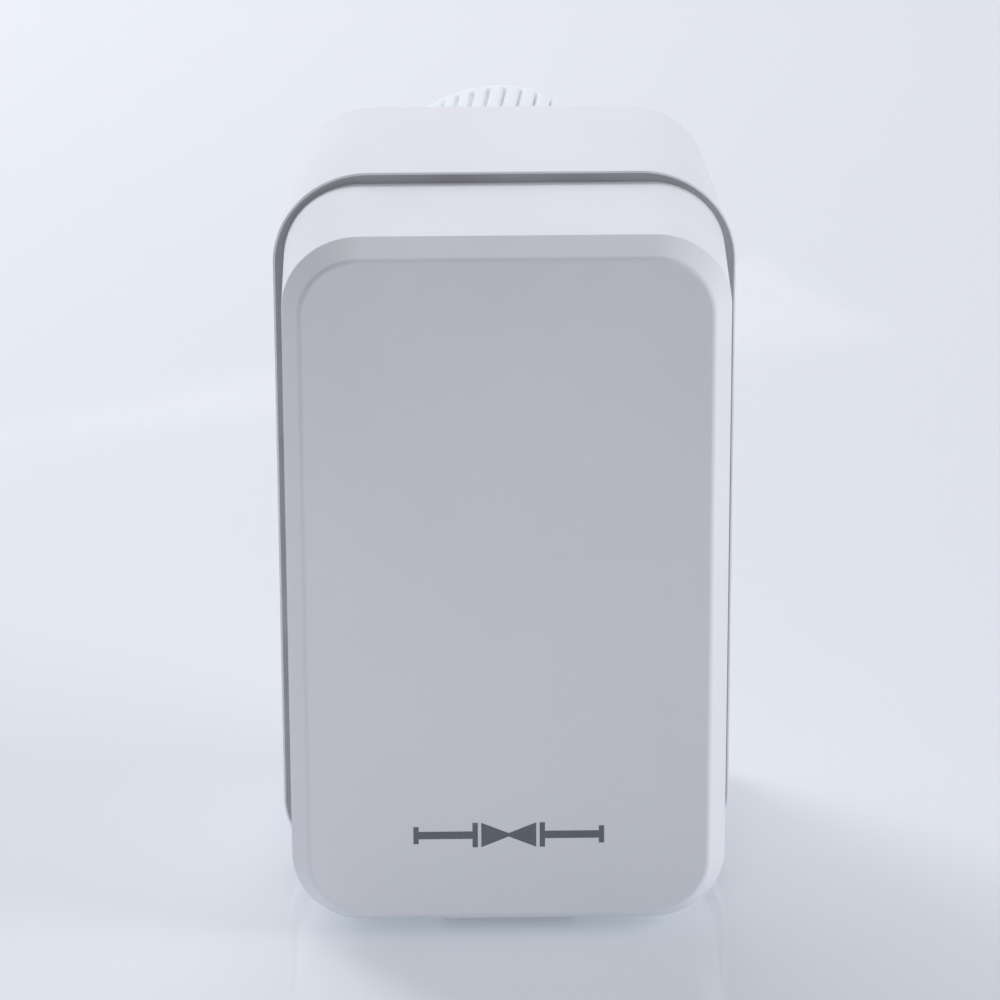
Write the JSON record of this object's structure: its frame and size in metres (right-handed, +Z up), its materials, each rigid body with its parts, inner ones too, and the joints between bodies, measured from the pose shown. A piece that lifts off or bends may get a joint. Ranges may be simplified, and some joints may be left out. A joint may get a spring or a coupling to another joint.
{
  "type": "valve actuator head",
  "caption": "Motorised actuator head with a ribbed union nut that screws onto a valve body; inside a white plastic housing a geared motor drives a push spindle.",
  "frame": {"origin": "centre of the union nut's mouth, on the nut's axis", "axes": "+Y out of the union nut towards the valve, -Y towards the flat front face, +Z up along the tall side, +X to the left when looking at the rear, so to the right when looking at the front"},
  "size_m": [0.06, 0.0745, 0.1],
  "materials": {
    "housing_white": "fine matt texture, slightly cool white",
    "gasket_grey": "matt dark grey elastomer",
    "nut_white": "satin moulded white",
    "screw_steel": "zinc-plated, bright",
    "spring_steel": "dark phosphated",
    "seal_black": "satin black",
    "spindle_steel": "turned and polished",
    "gear_plastic": "natural acetal",
    "gear_brass": "machined",
    "bearing_steel": "ground",
    "cage_plastic": "blue-grey nylon",
    "plate_steel": "galvanised sheet",
    "motor_steel": "zinc-plated can",
    "sintered_bronze": "matt oiled bronze",
    "magnet_dark": "ferrite, matt",
    "stator_iron": "soft iron sheet",
    "copper_winding": "enamelled copper",
    "terminal_black": "matt black",
    "tin_pins": "tinned",
    "board_green": "solder-masked glass-fibre laminate",
    "capacitor_yellow": "cast box",
    "capacitor_sleeve": "shrunk sleeve",
    "chip_black": "moulded epoxy",
    "resistor_ceramic": "fired film",
    "varistor_blue": "dipped coating",
    "socket_black": "matt black nylon"
  },
  "bodies": {
    "head": {"rear_housing": "housing_white", "front_cover": "housing_white", "parting_gasket": "gasket_grey", "housing_screws": "screw_steel", "nut_snap_ring": "spring_steel", "spindle_seal": "seal_black", "spindle_guide": "gear_brass", "axle_a": "bearing_steel", "axle_b": "bearing_steel", "axle_c": "bearing_steel", "thrust_washer_fixed": "bearing_steel", "gearbox_back_plate": "plate_steel", "gearbox_front_plate": "plate_steel", "spacer_posts": "plate_steel", "gearbox_screws": "screw_steel", "motor_case": "motor_steel", "motor_flange": "motor_steel", "motor_bearings": "sintered_bronze", "motor_stator": "stator_iron", "motor_coils": "copper_winding", "motor_terminal": "terminal_black", "motor_pins": "tin_pins", "motor_screws": "screw_steel", "circuit_board": "board_green", "board_screws": "screw_steel", "supply_capacitor": "capacitor_yellow", "electrolytic_capacitors": "capacitor_sleeve", "controller_chip": "chip_black", "driver_transistors": "chip_black", "board_resistors": "resistor_ceramic", "varistor": "varistor_blue", "cable_socket": "socket_black", "socket_pins": "tin_pins"},
    "nut": {"union_nut": "nut_white"},
    "motor_rotor_body": {"motor_rotor": "magnet_dark", "motor_shaft": "spindle_steel", "motor_pinion": "gear_brass"},
    "gear_a_body": {"gear_a": "gear_plastic"},
    "gear_b_body": {"gear_b": "gear_plastic"},
    "gear_c_body": {"gear_c": "gear_plastic"},
    "output_body": {"output_gear": "gear_plastic", "thrust_washer_moving": "bearing_steel"},
    "thrust_cage_body": {"thrust_balls": "bearing_steel", "thrust_cage": "cage_plastic"},
    "spindle_body": {"spindle": "spindle_steel", "pressure_plate": "spindle_steel"}
  },
  "joints": [
    {"name": "union_nut_spin", "type": "hinge", "parent": "head", "child": "nut", "pos_m": [0, 0, 0], "axis": [0, 1, 0], "continuous": true},
    {"name": "motor_spin", "type": "hinge", "parent": "head", "child": "motor_rotor_body", "pos_m": [0, -0.045, -0.046], "axis": [0, 1, 0], "range_deg": [0, 203154]},
    {"name": "gear_a_spin", "type": "hinge", "parent": "head", "child": "gear_a_body", "pos_m": [0.01239, -0.045, -0.03627], "axis": [0, 1, 0], "range_deg": [-63486, 0]},
    {"name": "gear_b_spin", "type": "hinge", "parent": "head", "child": "gear_b_body", "pos_m": [0.00668, -0.045, -0.02053], "axis": [0, 1, 0], "range_deg": [0, 18314]},
    {"name": "gear_c_spin", "type": "hinge", "parent": "head", "child": "gear_c_body", "pos_m": [-0.011, -0.045, -0.01963], "axis": [0, 1, 0], "range_deg": [-6244, 0]},
    {"name": "output_gear_spin", "type": "hinge", "parent": "head", "child": "output_body", "pos_m": [0, -0.04, 0], "axis": [0, 1, 0], "range_deg": [0, 1561]},
    {"name": "thrust_cage_spin", "type": "hinge", "parent": "head", "child": "thrust_cage_body", "pos_m": [0, -0.04165, 0], "axis": [0, 1, 0], "range_deg": [0, 781]},
    {"name": "spindle_slide", "type": "slide", "parent": "head", "child": "spindle_body", "axis": [0, 1, 0], "range_m": [0, 0.0065]}
  ],
  "couplings": [
    {"joint": "output_gear_spin", "follows": "spindle_slide", "rad_per_m": 4188.8},
    {"joint": "thrust_cage_spin", "follows": "spindle_slide", "rad_per_m": 2094.4},
    {"joint": "gear_c_spin", "follows": "spindle_slide", "rad_per_m": -16755},
    {"joint": "gear_b_spin", "follows": "spindle_slide", "rad_per_m": 49148},
    {"joint": "gear_a_spin", "follows": "spindle_slide", "rad_per_m": -170380},
    {"joint": "motor_spin", "follows": "spindle_slide", "rad_per_m": 545220}
  ]
}
